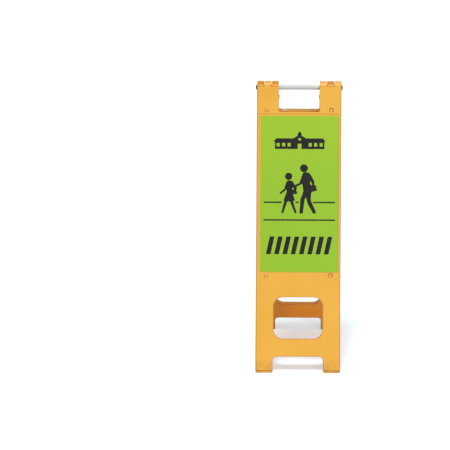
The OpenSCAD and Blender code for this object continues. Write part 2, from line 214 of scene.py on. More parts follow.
# %% [markdown]
# ## Helpers for finishes
# A finish is a Principled shader with patterns that read Object coordinates. Every piece's object
# sits at the origin, so these are metres in the stand and the patterns have their real scale.
# The Mix node has sockets of the same name for numbers and for colours, so a colour's sockets are
# picked by number.

# %% Finish helpers
MIX_UNDER = 6
MIX_OVER = 7
MIX_RESULT = 2


def new_finish(name, roughness, base_color):
    """A material, its shader and its Object coordinates."""
    material = bpy.data.materials.new(name)
    material.use_nodes = True
    shader = material.node_tree.nodes["Principled BSDF"]
    shader.inputs["Base Color"].default_value = (*base_color, 1)
    shader.inputs["Roughness"].default_value = roughness
    place = material.node_tree.nodes.new("ShaderNodeTexCoord").outputs["Object"]
    return material, shader, place


def add_node(material, kind, inputs=None, **settings):
    """A new node with its settings and its unlinked inputs."""
    node = material.node_tree.nodes.new(kind)
    for name, value in settings.items():
        setattr(node, name, value)
    for name, value in (inputs or {}).items():
        node.inputs[name].default_value = value
    return node


def join(material, source, target):
    """Links an output to an input."""
    material.node_tree.links.new(source, target)


def noise(material, place, scale, detail=2.0, stretch=(1, 1, 1)):
    """The value of a noise pattern, stretched along an axis if need be."""
    mapping = add_node(material, "ShaderNodeMapping", {"Scale": stretch})
    join(material, place, mapping.inputs["Vector"])
    pattern = add_node(material, "ShaderNodeTexNoise", {"Scale": scale, "Detail": detail})
    join(material, mapping.outputs["Vector"], pattern.inputs["Vector"])
    return pattern.outputs["Fac"]


def ranged(material, value, low, high, out_low=0.0, out_high=1.0):
    """A value mapped from one range to another and clamped there."""
    node = add_node(
        material,
        "ShaderNodeMapRange",
        {"From Min": low, "From Max": high, "To Min": out_low, "To Max": out_high},
    )
    join(material, value, node.inputs["Value"])
    return node.outputs["Result"]


def height_of(material, place):
    """The height of a point above the floor."""
    split = add_node(material, "ShaderNodeSeparateXYZ")
    join(material, place, split.inputs["Vector"])
    return split.outputs["Z"]


def scaled(color, red, green, blue):
    """A colour with each channel multiplied by a factor of its own."""
    return (color[0] * red, color[1] * green, color[2] * blue)


def times(material, one, other):
    """The product of two values."""
    node = add_node(material, "ShaderNodeMath", operation="MULTIPLY")
    join(material, one, node.inputs[0])
    join(material, other, node.inputs[1])
    return node.outputs["Value"]


def tinted(material, under, factor, color):
    """A colour, or a linked colour, that goes over to another colour by a factor."""
    node = add_node(material, "ShaderNodeMix", data_type="RGBA")
    join(material, factor, node.inputs["Factor"])
    if isinstance(under, tuple):
        node.inputs[MIX_UNDER].default_value = (*under, 1)
    else:
        join(material, under, node.inputs[MIX_UNDER])
    node.inputs[MIX_OVER].default_value = (*color, 1)
    return node.outputs[MIX_RESULT]


def bumped(material, shader, patterns):
    """Raises the surface by several patterns, each given as (value, height in metres)."""
    normal = None
    for value, height in patterns:
        bump = add_node(material, "ShaderNodeBump", {"Distance": height})
        join(material, value, bump.inputs["Height"])
        if normal:
            join(material, normal, bump.inputs["Normal"])
        normal = bump.outputs["Normal"]
    join(material, normal, shader.inputs["Normal"])


SHEEN = 0.024
DARKEST = 0.004


def colour_of(slot):
    """The colour under the sheen: a slot's colour in the record, less the white that gloss adds."""
    seen = next(m["base_color"] for m in frame["record"]["materials"] if m["slot"] == slot)
    return tuple(max(channel - SHEEN, DARKEST) for channel in seen)


# %% [markdown]
# ## Panel plastic
# Blow-moulded polyethylene is satin, with the fine grain of the sandblasted mould and a slow
# waviness where the wall cooled unevenly. The inner faces low in the stand get painted shade, a
# deeper and redder orange. Rims are rubbed paler. Grooves, corners, rims and sides get painted shade
# in dark brown, mottled like dirt, and the feet turn browner towards the floor in patches.

# %% Panel finish
# Dark brown of the painted shade with dirt.
SHADE_AND_DIRT_BROWN = (0.19, 0.075, 0.014)
LOW_BROWN = (0.42, 0.18, 0.03)
LOW_BROWN_TOP = 60 * MM
# Painted shade on the inner faces starts 110 mm below the hinge and 22 mm deep in the panel, and is full 400 mm
# below and 4 mm deep.
INNER_SHADE_FROM = 110 * MM
INNER_SHADE_FULL = 400 * MM
SHADE_START_DEPTH = 22 * MM
SHADE_FULL_DEPTH = 4 * MM
SWELL_H = 0.5 * MM
PEEL_H = 0.05 * MM
GRAIN_H = 0.035 * MM


def depth_in_panel(material, place):
    """Depth of a point in its leaning panel, from the plane between the folded panels outwards."""
    mirrored = add_node(material, "ShaderNodeVectorMath", operation="ABSOLUTE")
    join(material, place, mirrored.inputs[0])
    along = add_node(material, "ShaderNodeVectorMath", operation="DOT_PRODUCT")
    join(material, mirrored.outputs["Vector"], along.inputs[0])
    along.inputs[1].default_value = (0, math.cos(lean), math.sin(lean))
    depth = add_node(material, "ShaderNodeMath", operation="SUBTRACT")
    join(material, along.outputs["Value"], depth.inputs[0])
    depth.inputs[1].default_value = hinge_z * math.sin(lean)
    return depth.outputs["Value"]


def panel_finish():
    """Orange moulded plastic with grain, rubbed rims, feet browner near the floor, painted shade mottled like
    dirt, and painted redder shade on the inner faces.
    """
    orange = colour_of("panel_plastic")
    material, shader, place = new_finish("orange_plastic", 0.42, orange)
    cloudy = ranged(material, noise(material, place, 7, 3), 0.35, 0.7)
    streaks = ranged(material, noise(material, place, 30, 2, (1, 1, 0.12)), 0.4, 0.75, 0, 0.5)
    deeper = scaled(orange, 0.95, 0.93, 0.8)
    paler = scaled(orange, 1.02, 1.08, 1.8)
    painted_shade_red = scaled(orange, 1.02, 0.7, 0.5)
    colour = tinted(material, orange, cloudy, deeper)
    colour = tinted(material, colour, streaks, orange)
    height = height_of(material, place)
    # Painted shade: the inner faces low in the stand are tinted a deeper, redder orange.
    below = ranged(material, height, hinge_z - INNER_SHADE_FROM, hinge_z - INNER_SHADE_FULL)
    inner = ranged(material, depth_in_panel(material, place), SHADE_START_DEPTH, SHADE_FULL_DEPTH)
    colour = tinted(material, colour, times(material, below, inner), painted_shade_red)
    rim = add_node(material, "ShaderNodeAttribute", attribute_name=RIM).outputs["Fac"]
    patchy = ranged(material, noise(material, place, 55, 4), 0.45, 0.7, 0, 0.6)
    colour = tinted(material, colour, times(material, rim, patchy), paler)
    # Painted shade, mottled like dirt, from the dirt attribute: dark brown in grooves, corners, rims and sides.
    dirt = add_node(material, "ShaderNodeAttribute", attribute_name=PAINTED_SHADE_AND_DIRT).outputs["Fac"]
    uneven = ranged(material, noise(material, place, 90, 4), 0.3, 0.6, 0.6, 1)
    colour = tinted(material, colour, times(material, dirt, uneven), SHADE_AND_DIRT_BROWN)
    # The feet turn browner towards the floor, in patches.
    low = ranged(material, height, LOW_BROWN_TOP, 0)
    dust = times(material, low, ranged(material, noise(material, place, 40, 5), 0.4, 0.75, 0.25, 0.9))
    colour = tinted(material, colour, dust, LOW_BROWN)
    join(material, colour, shader.inputs["Base Color"])
    gloss = ranged(material, noise(material, place, 25, 4), 0.3, 0.7, 0.38, 0.5)
    join(material, gloss, shader.inputs["Roughness"])
    grain = noise(material, place, 1500, 3)
    peel = noise(material, place, 210, 2)
    swell = noise(material, place, 9, 1)
    bumped(material, shader, [(swell, SWELL_H), (peel, PEEL_H), (grain, GRAIN_H)])
    return material


ORANGE = panel_finish()

# %% [markdown]
# ## The panels
# A panel could be built up from plates, but its hinge, hollow and recess already fit to a tenth of
# a millimetre in the frame. So a copy of the frame's panel is reworked. Plastic pulls round at each
# edge, more at the deep windows than at the shallow recess, so the edges are picked by what they
# border on, and each kind gets a radius of its own. The grooves above the feet are closed for that
# and sunk again afterwards, because a wide bevel would run into them.

# %% Measures of an upright panel
def upright_box(node):
    """Lowest and highest corner of one of the front panel's nodes, once upright."""
    turned = lean_of("front").inverted()
    corners = [turned @ vert.co for vert in frame["nodes"][node].data.vertices]
    low = Vector([min(corner[axis] for corner in corners) for axis in range(3)])
    high = Vector([max(corner[axis] for corner in corners) for axis in range(3)])
    return low, high


cap_low, cap_high = upright_box("front_fill_plug")
sheet_low, sheet_high = upright_box("front_sheet")
neck = (cap_low + cap_high) / 2
cap_r = (cap_high.x - cap_low.x) / 2
neck_bottom = neck.z - 2 * cap_r
recess_floor = -sheet_high.y
panel_half_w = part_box("front_panel")[1].x
print("Sheet in mm:", [round(length / MM, 1) for length in sheet_high - sheet_low])

# %% Flat faces and skins
NEAR = 0.05 * MM
SMALL_FLAT = 0.02
FLAT_NORMAL = 0.999
SQUARE_NORMAL = 0.01
SLOPES = (0.05, 0.95)


def flat_depth(face):
    """Depth of a face that is parallel to the sheet, or None."""
    return -face.calc_center_median().y if abs(face.normal.y) > FLAT_NORMAL else None


def skins_of(mesh):
    """Depths of the panel's inner and outer skin, the first and last large flats in it."""
    areas = {}
    for face in mesh.faces:
        depth = flat_depth(face)
        if depth is not None:
            step = round(depth / NEAR)
            areas[step] = areas.get(step, 0) + face.calc_area()
    large = [step * NEAR for step, area in areas.items() if area > SMALL_FLAT]
    return min(large), max(large)


def lies_at(face, depth):
    """True if the face is flat and at that depth."""
    found = flat_depth(face)
    return found is not None and abs(found - depth) < NEAR


def is_slope(face):
    """True if the face neither lies flat nor stands square to the sheet."""
    return SLOPES[0] < abs(face.normal.y) < SLOPES[1]


def is_wall(face, deeper_than, thinner_than):
    """True if the face is square to the sheet and reaches through the panel by such a length."""
    if abs(face.normal.y) > SQUARE_NORMAL:
        return False
    depths = [vert.co.y for vert in face.verts]
    return deeper_than < max(depths) - min(depths) < thinner_than


# %% The hollow inside
HOLLOW = "hollow"
BORE_SHARE = 0.8


def mark_hollow(mesh, skins):
    """Marks the faces of the hollow by spreading from its largest flat as far as the filling bore."""
    layer = mesh.faces.layers.int.new(HOLLOW)
    inside = [
        face
        for face in mesh.faces
        if flat_depth(face) and skins[0] + MM < flat_depth(face) < recess_floor - MM
    ]
    reached = [max(inside, key=lambda face: face.calc_area())]
    reached[0][layer] = 1
    for face in reached:
        for other in {near for edge in face.edges for near in edge.link_faces}:
            middle = other.calc_center_median()
            in_bore = (middle.xy - neck.xy).length < BORE_SHARE * cap_r and middle.z > neck_bottom
            if not other[layer] and not in_bore:
                other[layer] = 1
                reached.append(other)
    print("Faces of the hollow:", len(reached))


def outside(mesh, parts):
    """The edges that belong to no face of the hollow."""
    layer = mesh.faces.layers.int[HOLLOW]
    return [edge for edge in parts if not any(face[layer] for face in edge.link_faces)]


# %% Zones and radii of the panel's edges
HINGE_BOTTOM = -15 * MM
FOOT_H = 30 * MM
FOOT_R = 10 * MM
BELOW_SHEET = 3 * MM
ABOVE_SHEET = 10 * MM
BESIDE_NOTCH = 10 * MM
RECESS_WALL = (1.5 * MM, 2.5 * MM)
OPENING_R = 3.2 * MM
RECESS_R = 0.8 * MM
NUB_R = 0.6 * MM
CONE_R = 2 * MM
KNUCKLE_R = 0.9 * MM


def cut_across(mesh, point, normal):
    """Cuts the outside of a panel with a plane, leaves the hollow whole and gives the new verts."""
    layer = mesh.faces.layers.int[HOLLOW]
    parts = set()
    for face in mesh.faces:
        if not face[layer]:
            parts.update([face, *face.edges, *face.verts])
    cut = bmesh.ops.bisect_plane(mesh, geom=list(parts), dist=WELD, plane_co=point, plane_no=normal)
    return [part for part in cut["geom_cut"] if isinstance(part, bmesh.types.BMVert)]


def borders(edge, one, other):
    """True if one face beside the edge passes the first test and the other passes the second."""
    a, b = edge.link_faces
    return (one(a) and other(b)) or (one(b) and other(a))


def round_panel_edges(mesh, skins):
    """Rounds each kind of edge on the outside of a panel with its own radius."""
    inner, outer = skins
    foot_top = min(vert.co.z for vert in mesh.verts) + FOOT_R
    cut_across(mesh, Vector((0, 0, foot_top)), Vector((0, 0, 1)))

    def on_skin(face):
        return lies_at(face, inner) or lies_at(face, outer)

    def on_recess(face):
        return lies_at(face, outer) or lies_at(face, recess_floor)

    def in_recess(face):
        """True for the low walls round the sheet."""
        level = face.calc_center_median().z
        beside = sheet_low.z - BELOW_SHEET < level < sheet_high.z + ABOVE_SHEET
        return beside and min(-vert.co.y for vert in face.verts) > recess_floor - NEAR

    def opening_wall(face):
        return abs(face.normal.y) < SQUARE_NORMAL and not in_recess(face)

    def below_hinge(edge):
        return max(vert.co.z for vert in edge.verts) < HINGE_BOTTOM

    def on_opening(edge):
        return below_hinge(edge) and borders(edge, on_skin, opening_wall)

    def on_foot(edge):
        """True on the bead below the groove, whose round corners leave room for small radii only."""
        return max(vert.co.z for vert in edge.verts) < foot_top + NEAR

    def in_notch(edge):
        """True round the hand notch, whose edges run up into those of the knuckles."""
        aside = max(abs(vert.co.x) for vert in edge.verts)
        low = min(vert.co.z for vert in edge.verts)
        return low > cap_low.z and aside < panel_half_w - BESIDE_NOTCH

    def on_nub_or_foot(edge):
        on_nub = borders(edge, lambda face: flat_depth(face) is not None, is_slope)
        return below_hinge(edge) and (on_nub or (on_foot(edge) and on_opening(edge)))

    kinds = [
        (OPENING_R, 4, lambda e: on_opening(e) and not in_notch(e) and not on_foot(e)),
        (RECESS_R, 3, lambda e: borders(e, on_recess, lambda f: is_wall(f, *RECESS_WALL))),
        (CONE_R, 4, lambda e: below_hinge(e) and borders(e, lambda f: lies_at(f, inner), is_slope)),
        (NUB_R, 3, on_nub_or_foot),
        (KNUCKLE_R, 3, lambda e: not below_hinge(e) or (on_opening(e) and in_notch(e))),
    ]
    for radius, segments, test in kinds:
        mesh.normal_update()
        edges = without_tips([edge for edge in outside(mesh, creased(mesh)) if test(edge)])
        rounded(mesh, edges, radius, segments)
        print("Rounded", len(edges), "edges by", round(radius / MM, 2), "mm")


# %% Grooves above the feet
GROOVE_DRAFT = 0.15 * MM


def in_foot_groove(face, lowest, skins):
    """True on the floor of the groove above a foot's bead."""
    depth = flat_depth(face)
    low = face.calc_center_median().z < lowest + FOOT_H
    return low and depth is not None and recess_floor < depth < skins[1] - NEAR


def fill_grooves(mesh, skins):
    """Lifts the groove's floor level with the skin, so that the edges beside it round evenly."""
    lowest = min(vert.co.z for vert in mesh.verts)
    floors = [face for face in mesh.faces if in_foot_groove(face, lowest, skins)]
    verts = {vert for face in floors for vert in face.verts}
    levels = (min(vert.co.z for vert in verts), max(vert.co.z for vert in verts))
    sunk = skins[1] + max(vert.co.y for vert in verts)
    for vert in verts:
        vert.co.y = -skins[1]
    bmesh.ops.remove_doubles(mesh, verts=mesh.verts, dist=WELD)
    bmesh.ops.dissolve_limit(mesh, angle_limit=FLAT_ANGLE, verts=mesh.verts, edges=mesh.edges)
    mesh.normal_update()
    print("Groove of", round((levels[1] - levels[0]) / MM, 2), "by", round(sunk / MM, 2), "mm")
    return levels, sunk


def sink_grooves(mesh, levels, sunk):
    """Sinks the groove again. It runs out over the rounded edges, as it does out of a mould."""
    upward = Vector((0, 0, 1))
    floor_lines = []
    for level in levels:
        cut_across(mesh, level * upward, upward)
    for level in (levels[0] + GROOVE_DRAFT, levels[1] - GROOVE_DRAFT):
        floor_lines += cut_across(mesh, level * upward, upward)
    mesh.normal_update()
    moves = [(vert, sunk * max(-vert.normal.y, 0) * vert.normal) for vert in set(floor_lines)]
    for vert, move in moves:
        vert.co -= move
    mesh.normal_update()


# %% [markdown]
# ## Marks of the mould, and painted shade
# Two mould halves close round a soft hose of plastic. A fine ridge stays where they met, and round
# marks stay where pins pinched the two walls together. A bump pattern could show both, but it would
# leave the panel's outline untouched, so they are in the mesh. Painted shade, mottled like dirt, is
# given by the kind of face, most in grooves and corners, so each face carries its share of it as an attribute.

# %% Parting line
PARTING_H = 0.35 * MM
PARTING_HALF_W = 0.7 * MM
PARTING_UP = 3 * MM
CAP_CLEAR = 1.3


def raise_parting_line(mesh):
    """Raises a fine ridge half way through the panel, where the two mould halves met."""
    for aside in (-PARTING_HALF_W, PARTING_HALF_W):
        cut_across(mesh, Vector((0, neck.y + aside, 0)), Vector((0, 1, 0)))
    ridge = cut_across(mesh, Vector((0, neck.y, 0)), Vector((0, 1, 0)))
    mesh.normal_update()
    lowest = min(vert.co.z for vert in ridge)
    for vert in ridge:
        by_cap = abs(vert.co.x - neck.x) < CAP_CLEAR * cap_r and vert.co.z > neck_bottom
        if lowest + PARTING_UP < vert.co.z < 2 * HINGE_BOTTOM and not by_cap:
            vert.co += PARTING_H * vert.normal
    print("Parting line over", len(ridge), "points")


# %% Painted shade and dirt
# How much painted shade, mottled like dirt, each kind of face gets: most in grooves and recess corners, more in
# dimples than on nubs.
SIDE_SHADE = 0.4
OPENING_SHADE = 0.5
NUB_SHADE = 0.35
DIMPLE_SHADE = 0.7
RECESS_SHADE = 0.8
GROOVE_SHADE = 1
SIDEWAYS = 0.6
SIDE_ZONE = 3 * MM
FACE_ON = 0.93
LOW_WALL = (0.5 * MM, 2.5 * MM)


def paint_shade_and_dirt(mesh, skins):
    """Marks how much painted shade with dirt each face gets: most in grooves and in the recess's corners."""
    layer = mesh.faces.layers.float.new(PAINTED_SHADE_AND_DIRT)
    rim = mesh.faces.layers.float[RIM]
    lowest = min(vert.co.z for vert in mesh.verts)
    for face in mesh.faces:
        middle = face.calc_center_median()
        out = abs(face.normal.y)
        depth = -middle.y
        by_hinge = middle.z > HINGE_BOTTOM
        near_face = depth > recess_floor - MM and not by_hinge
        if abs(face.normal.x) > SIDEWAYS and abs(middle.x) > panel_half_w - SIDE_ZONE:
            face[layer] = SIDE_SHADE
        elif face[rim] and (out < FACE_ON or by_hinge):
            face[layer] = OPENING_SHADE
        elif near_face and is_slope(face) and not face[rim]:
            face[layer] = NUB_SHADE if depth > skins[1] else DIMPLE_SHADE
        elif near_face and is_wall(face, *LOW_WALL):
            face[layer] = RECESS_SHADE
        elif in_foot_groove(face, lowest, skins):
            face[layer] = GROOVE_SHADE


# %% Tack marks
TACK_R = 4 * MM
TACK_DEPTH = 0.5 * MM
TACK_SIDES = 16
TACK_RINGS = 4
TACK_REACH = 1.1
TACKS_MM = [(-125.5, -829), (125.5, -829), (96, -1020)]


def near_mark(face, middle, reach):
    """True if a face overlaps the square round a mark."""
    xs = [vert.co.x for vert in face.verts]
    zs = [vert.co.z for vert in face.verts]
    beside = max(xs) < middle.x - reach or min(xs) > middle.x + reach
    return not (beside or max(zs) < middle.z - reach or min(zs) > middle.z + reach)


def sink_tack_mark(mesh, skin, place):
    """Sinks a round, shallow mark into the outer skin, where the mould's walls were pinched together."""
    middle = Vector((place[0] * MM, -skin, place[1] * MM))
    for step in range(TACK_SIDES):
        turn = 2 * math.pi * step / TACK_SIDES
        out = Vector((math.cos(turn), 0, math.sin(turn)))
        faces = [face for face in mesh.faces if lies_at(face, skin) and near_mark(face, middle, TACK_R)]
        parts = {part for face in faces for part in (face, *face.edges, *face.verts)}
        bmesh.ops.bisect_plane(
            mesh, geom=list(parts), dist=WELD, plane_co=middle + TACK_R * out, plane_no=out
        )
    mesh.normal_update()
    reach = TACK_REACH * TACK_R
    inside = [
        face
        for face in mesh.faces
        if lies_at(face, skin) and max((vert.co - middle).length for vert in face.verts) < reach
    ]
    if len(inside) > 1:
        inside = bmesh.ops.dissolve_faces(mesh, faces=inside)["region"]
    rim = list(inside[0].verts)
    bmesh.ops.delete(mesh, geom=inside, context="FACES_ONLY")
    ring = rim
    for step in range(1, TACK_RINGS + 1):
        share = 1 - step / (TACK_RINGS + 1)
        sunk = Vector((0, TACK_DEPTH * (1 - share**2), 0))
        inner = [mesh.verts.new(middle + share * (vert.co - middle) + sunk) for vert in rim]
        for index in range(len(rim)):
            corners = (ring[index - 1], ring[index], inner[index], inner[index - 1])
            mesh.faces.new(corners).smooth = True
        ring = inner
    mesh.faces.new(ring).smooth = True
    print("Tack mark with", len(rim), "sides")


# %% Panels
def dressed_panel(side):
    """A panel with its moulded details, leaning in its place, with nothing below the floor."""
    mesh = node_copy(f"{side}_panel", side)
    mesh.normal_update()
    skins = skins_of(mesh)
    levels, sunk = fill_grooves(mesh, skins)
    mark_hollow(mesh, skins)
    round_panel_edges(mesh, skins)
    sink_grooves(mesh, levels, sunk)
    raise_parting_line(mesh)
    paint_shade_and_dirt(mesh, skins)
    for place in TACKS_MM:
        sink_tack_mark(mesh, skins[1], place)
    mesh.transform(lean_of(side))
    for vert in mesh.verts:
        vert.co.z = max(vert.co.z, 0)
    bmesh.ops.dissolve_degenerate(mesh, dist=WELD, edges=mesh.edges)
    name = f"{side}_panel_moulding"
    return add_piece(name, mesh, BODIES[side], ORANGE, f"{side}_panel")


for side in TURNS:
    dressed_panel(side)

# %% [markdown]
# ## The sheet and its films
# The reflective sheet is cut from a roll with rounded corners. Its face is made of small cells, which
# show as a fine pattern, slightly paler along the cell walls. It gets painted shade, darker towards
# the bottom, and its tone varies in patches.
# The black film is cut by a plotter: its corners are a little rounded, and it is smoother than the
# sheet under it.

# %% Sheet and film finishes
CELL = 3 * MM
CELL_WALL = 0.3 * MM
CELL_TURN = math.radians(45)
CELL_H = 0.01 * MM
# Painted shade on the sheet: none down to 150 mm below the hinge, most from 380 mm below.
SHEET_SHADE_FROM = 150 * MM
SHEET_SHADE_FULL = 380 * MM
SHEET_WAVE_H = 0.25 * MM
FILM_DUST = (0.12, 0.1, 0.07)


def sheeting_finish():
    """Yellow-green reflective sheeting with its cells under a clear face, and painted shade towards the bottom."""
    green = colour_of("green_sheeting")
    material, shader, place = new_finish("green_sheeting", 0.4, green)
    turned = add_node(material, "ShaderNodeMapping", {"Rotation": (math.pi / 2, 0, 0)})
    join(material, place, turned.inputs["Vector"])
    slanted = add_node(material, "ShaderNodeMapping", {"Rotation": (0, 0, CELL_TURN)})
    join(material, turned.outputs["Vector"], slanted.inputs["Vector"])
    cells = add_node(
        material,
        "ShaderNodeTexBrick",
        {
            "Color1": (0, 0, 0, 1),
            "Color2": (0.2, 0.2, 0.2, 1),
            "Mortar": (1, 1, 1, 1),
            "Scale": 1,
            "Mortar Size": CELL_WALL,
            "Mortar Smooth": 0.4,
            "Brick Width": CELL,
            "Row Height": CELL,
        },
        offset=0,
    )
    join(material, slanted.outputs["Vector"], cells.inputs["Vector"])
    walls = add_node(material, "ShaderNodeRGBToBW")
    join(material, cells.outputs["Color"], walls.inputs["Color"])
    paler = scaled(green, 1.2, 1.1, 2)
    shade_and_patch_green = scaled(green, 0.8, 0.92, 1)
    height = height_of(material, place)
    # Painted shade: the sheet darkens towards the bottom. Random patches use the same darker green.
    lower = ranged(material, height, hinge_z - SHEET_SHADE_FROM, hinge_z - SHEET_SHADE_FULL, 0, 0.8)
    patches = ranged(material, noise(material, place, 5, 3), 0.35, 0.75, 0, 0.3)
    colour = tinted(material, green, lower, shade_and_patch_green)
    colour = tinted(material, colour, patches, shade_and_patch_green)
    colour = tinted(material, colour, ranged(material, walls.outputs["Val"], 0, 1, 0, 0.4), paler)
    join(material, colour, shader.inputs["Base Color"])
    gloss = ranged(material, noise(material, place, 12, 4), 0.3, 0.7, 0.32, 0.44)
    join(material, gloss, shader.inputs["Roughness"])
    shader.inputs["Specular IOR Level"].default_value = 0.3
    wave = noise(material, place, 14, 1)
    bumped(material, shader, [(wave, SHEET_WAVE_H), (walls.outputs["Val"], CELL_H)])
    return material


def film_finish():
    """Black cut film, smooth, with a trace of dust."""
    black = colour_of("black_film")
    material, shader, place = new_finish("black_film", 0.3, black)
    dust = ranged(material, noise(material, place, 60, 5), 0.45, 0.8, 0, 0.07)
    join(material, tinted(material, black, dust, FILM_DUST), shader.inputs["Base Color"])
    gloss = ranged(material, noise(material, place, 18, 4), 0.3, 0.7, 0.26, 0.4)
    join(material, gloss, shader.inputs["Roughness"])
    shader.inputs["Specular IOR Level"].default_value = 0.25
    bumped(material, shader, [(noise(material, place, 14, 1), SHEET_WAVE_H)])
    return material


# %% Flat pieces
SHEET_CORNER_R = 3 * MM
SHEET_EDGE_R = 0.2 * MM
FILM_CORNER_R = 0.5 * MM
FILM_EDGE_R = 0.08 * MM


def flat_piece(name, node, side, radii, finish):
    """A piece cut from sheet: rounded corners, and a soft edge on its outer face."""
    mesh = node_copy(node, side)
    mesh.normal_update()
    corners = [edge for edge in creased(mesh) if abs(edge.verts[0].co.x - edge.verts[1].co.x) < WELD]
    corners = [edge for edge in corners if abs(edge.verts[0].co.z - edge.verts[1].co.z) < WELD]
    rounded(mesh, corners, radii[0])
    mesh.normal_update()
    face_depth = -min(vert.co.y for vert in mesh.verts)

    def is_face(face):
        return lies_at(face, face_depth)

    def is_side(face):
        return abs(face.normal.y) < SQUARE_NORMAL

    rims = [edge for edge in creased(mesh) if borders(edge, is_face, is_side)]
    rounded(mesh, rims, radii[1], 2)
    mesh.transform(lean_of(side))
    add_piece(name, mesh, BODIES[side], finish, node)


GREEN = sheeting_finish()
BLACK = film_finish()
FILMS = ("schoolhouse", "pupils", "crossing_lines", "crossing_bars")
for side in TURNS:
    radii = (SHEET_CORNER_R, SHEET_EDGE_R)
    flat_piece(f"{side}_green_sheet", f"{side}_sheet", side, radii, GREEN)
    for film in FILMS:
        radii = (FILM_CORNER_R, FILM_EDGE_R)
        flat_piece(f"{side}_{film}_film", f"{side}_{film}", side, radii, BLACK)

# %% [markdown]
# ## Tube and plugs
# These are turned shapes, so each is a spun outline of (place along X, radius) points. The tube is
# extruded, which leaves fine streaks along it. The end plugs have barbs that grip the bore, and the
# gate mark of the mould in the middle of the dome.

# %% Spun pieces
PLUG_SIDES = 64
TUBE_SIDES = 96


def spun(outline, closed, sides):
    """A solid of revolution round the X axis from (x, radius) points."""
    mesh = bmesh.new()
    verts = [mesh.verts.new((x, 0, radius)) for x, radius in outline]
    pairs = list(zip(verts, verts[1:]))
    if closed:
        pairs.append((verts[-1], verts[0]))
    edges = [mesh.edges.new(pair) for pair in pairs]
    bmesh.ops.spin(
        mesh,
        geom=verts + edges,
        cent=(0, 0, 0),
        axis=(1, 0, 0),
        angle=2 * math.pi,
        steps=sides,
        use_merge=True,
    )
    bmesh.ops.remove_doubles(mesh, verts=mesh.verts, dist=WELD)
    bmesh.ops.recalc_face_normals(mesh, faces=mesh.faces)
    for face in mesh.faces:
        face.smooth = True
    return mesh


TUBE_WALL = 2.3 * MM
TUBE_END_R = 0.5 * MM
PIPE_SHADE = 0.83
PIPE_GRIME = (0.55, 0.5, 0.4)
PIPE_STREAK_H = 0.04 * MM
ALONG_X = (0.02, 1, 1)

tube_low, tube_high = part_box("hinge_tube")
tube_r = (tube_high.z - tube_low.z) / 2
tube_bore_r = tube_r - TUBE_WALL
hinge = Matrix.Translation((0, 0, hinge_z))


def pipe_finish():
    """Pale extruded pipe with streaks along it and a little grime from hands."""
    pale = tuple(PIPE_SHADE * channel for channel in colour_of("tube_plastic"))
    material, shader, place = new_finish("pale_pipe", 0.38, pale)
    streaks = ranged(material, noise(material, place, 420, 3, ALONG_X), 0.35, 0.7, 0, 0.7)
    grime = ranged(material, noise(material, place, 45, 5), 0.5, 0.8, 0, 0.5)
    colour = tinted(material, pale, streaks, scaled(pale, 0.92, 0.92, 0.92))
    colour = tinted(material, colour, grime, PIPE_GRIME)
    join(material, colour, shader.inputs["Base Color"])
    gloss = ranged(material, noise(material, place, 60, 4), 0.3, 0.7, 0.3, 0.5)
    join(material, gloss, shader.inputs["Roughness"])
    bumped(material, shader, [(noise(material, place, 500, 2, ALONG_X), PIPE_STREAK_H)])
    return material


def hinge_pipe():
    """The tube, with its cut ends taken off a little."""
    ends = (tube_low.x, tube_high.x)
    outline = [(ends[0], tube_bore_r), (ends[1], tube_bore_r), (ends[1], tube_r), (ends[0], tube_r)]
    mesh = spun(outline, True, TUBE_SIDES)
    mesh.normal_update()
    rounded(mesh, creased(mesh), TUBE_END_R)
    mesh.transform(hinge)
    add_piece("hinge_pipe", mesh, "handle", pipe_finish(), "hinge_tube")


hinge_pipe()

# %% End plugs
HEAD_GAP = 0.4 * MM
HEAD_RIM = 2.2 * MM
HEAD_EDGE_R = 0.6 * MM
SHANK_L = 18 * MM
BARB_D = 0.9 * MM
BARBS = 4
BARB_RISE = 0.45
BARB_TOP = 0.5
BARB_FALL = 0.55
GATE_R = 1.6 * MM
GATE_D = 0.35 * MM
GATE_TAPER = 0.8
DOME_STEPS = 12
OUTERMOST = 0.95
PLUG_DUST = (0.16, 0.09, 0.055)
GRAIN_FINE_H = 0.02 * MM

plug_low, plug_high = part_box("right_end_plug")
head_r = (plug_high.z - plug_low.z) / 2
dome_h = plug_high.x - tube_high.x - HEAD_GAP - HEAD_RIM


def plug_finish():
    """Dark brown moulded plastic, satin, with a fine grain."""
    brown = colour_of("plug_plastic")
    material, shader, place = new_finish("dark_plug", 0.32, brown)
    dust = ranged(material, noise(material, place, 90, 5), 0.45, 0.75, 0, 0.35)
    join(material, tinted(material, brown, dust, PLUG_DUST), shader.inputs["Base Color"])
    gloss = ranged(material, noise(material, place, 70, 4), 0.3, 0.7, 0.25, 0.42)
    join(material, gloss, shader.inputs["Roughness"])
    bumped(material, shader, [(noise(material, place, 1200, 2), GRAIN_FINE_H)])
    return material


def plug_outline():
    """Half section of the right end plug, from the shank's tip to the middle of the dome."""
    under = tube_high.x + HEAD_GAP
    rim = under + HEAD_RIM
    tip = tube_high.x - SHANK_L
    pitch = SHANK_L / BARBS
    points = [(tip, 0), (tip, tube_bore_r - BARB_D)]
    for barb in range(BARBS):
        start = tip + barb * pitch
        points.append((start + BARB_RISE * pitch, tube_bore_r))
        points.append((start + BARB_TOP * pitch, tube_bore_r))
        points.append((start + BARB_FALL * pitch, tube_bore_r - BARB_D))
        points.append((start + pitch, tube_bore_r - BARB_D))
    points[-1] = (under, tube_bore_r - BARB_D)
    points += [(under, head_r), (rim, head_r)]
    sphere_r = (head_r**2 + dome_h**2) / (2 * dome_h)
    for step in range(1, DOME_STEPS + 1):
        radius = head_r + (GATE_R - head_r) * step / DOME_STEPS
        points.append((rim + dome_h - sphere_r + math.sqrt(sphere_r**2 - radius**2), radius))
    floor = points[-1][0] - GATE_D
    return points + [(floor, GATE_TAPER * GATE_R), (floor, 0)]


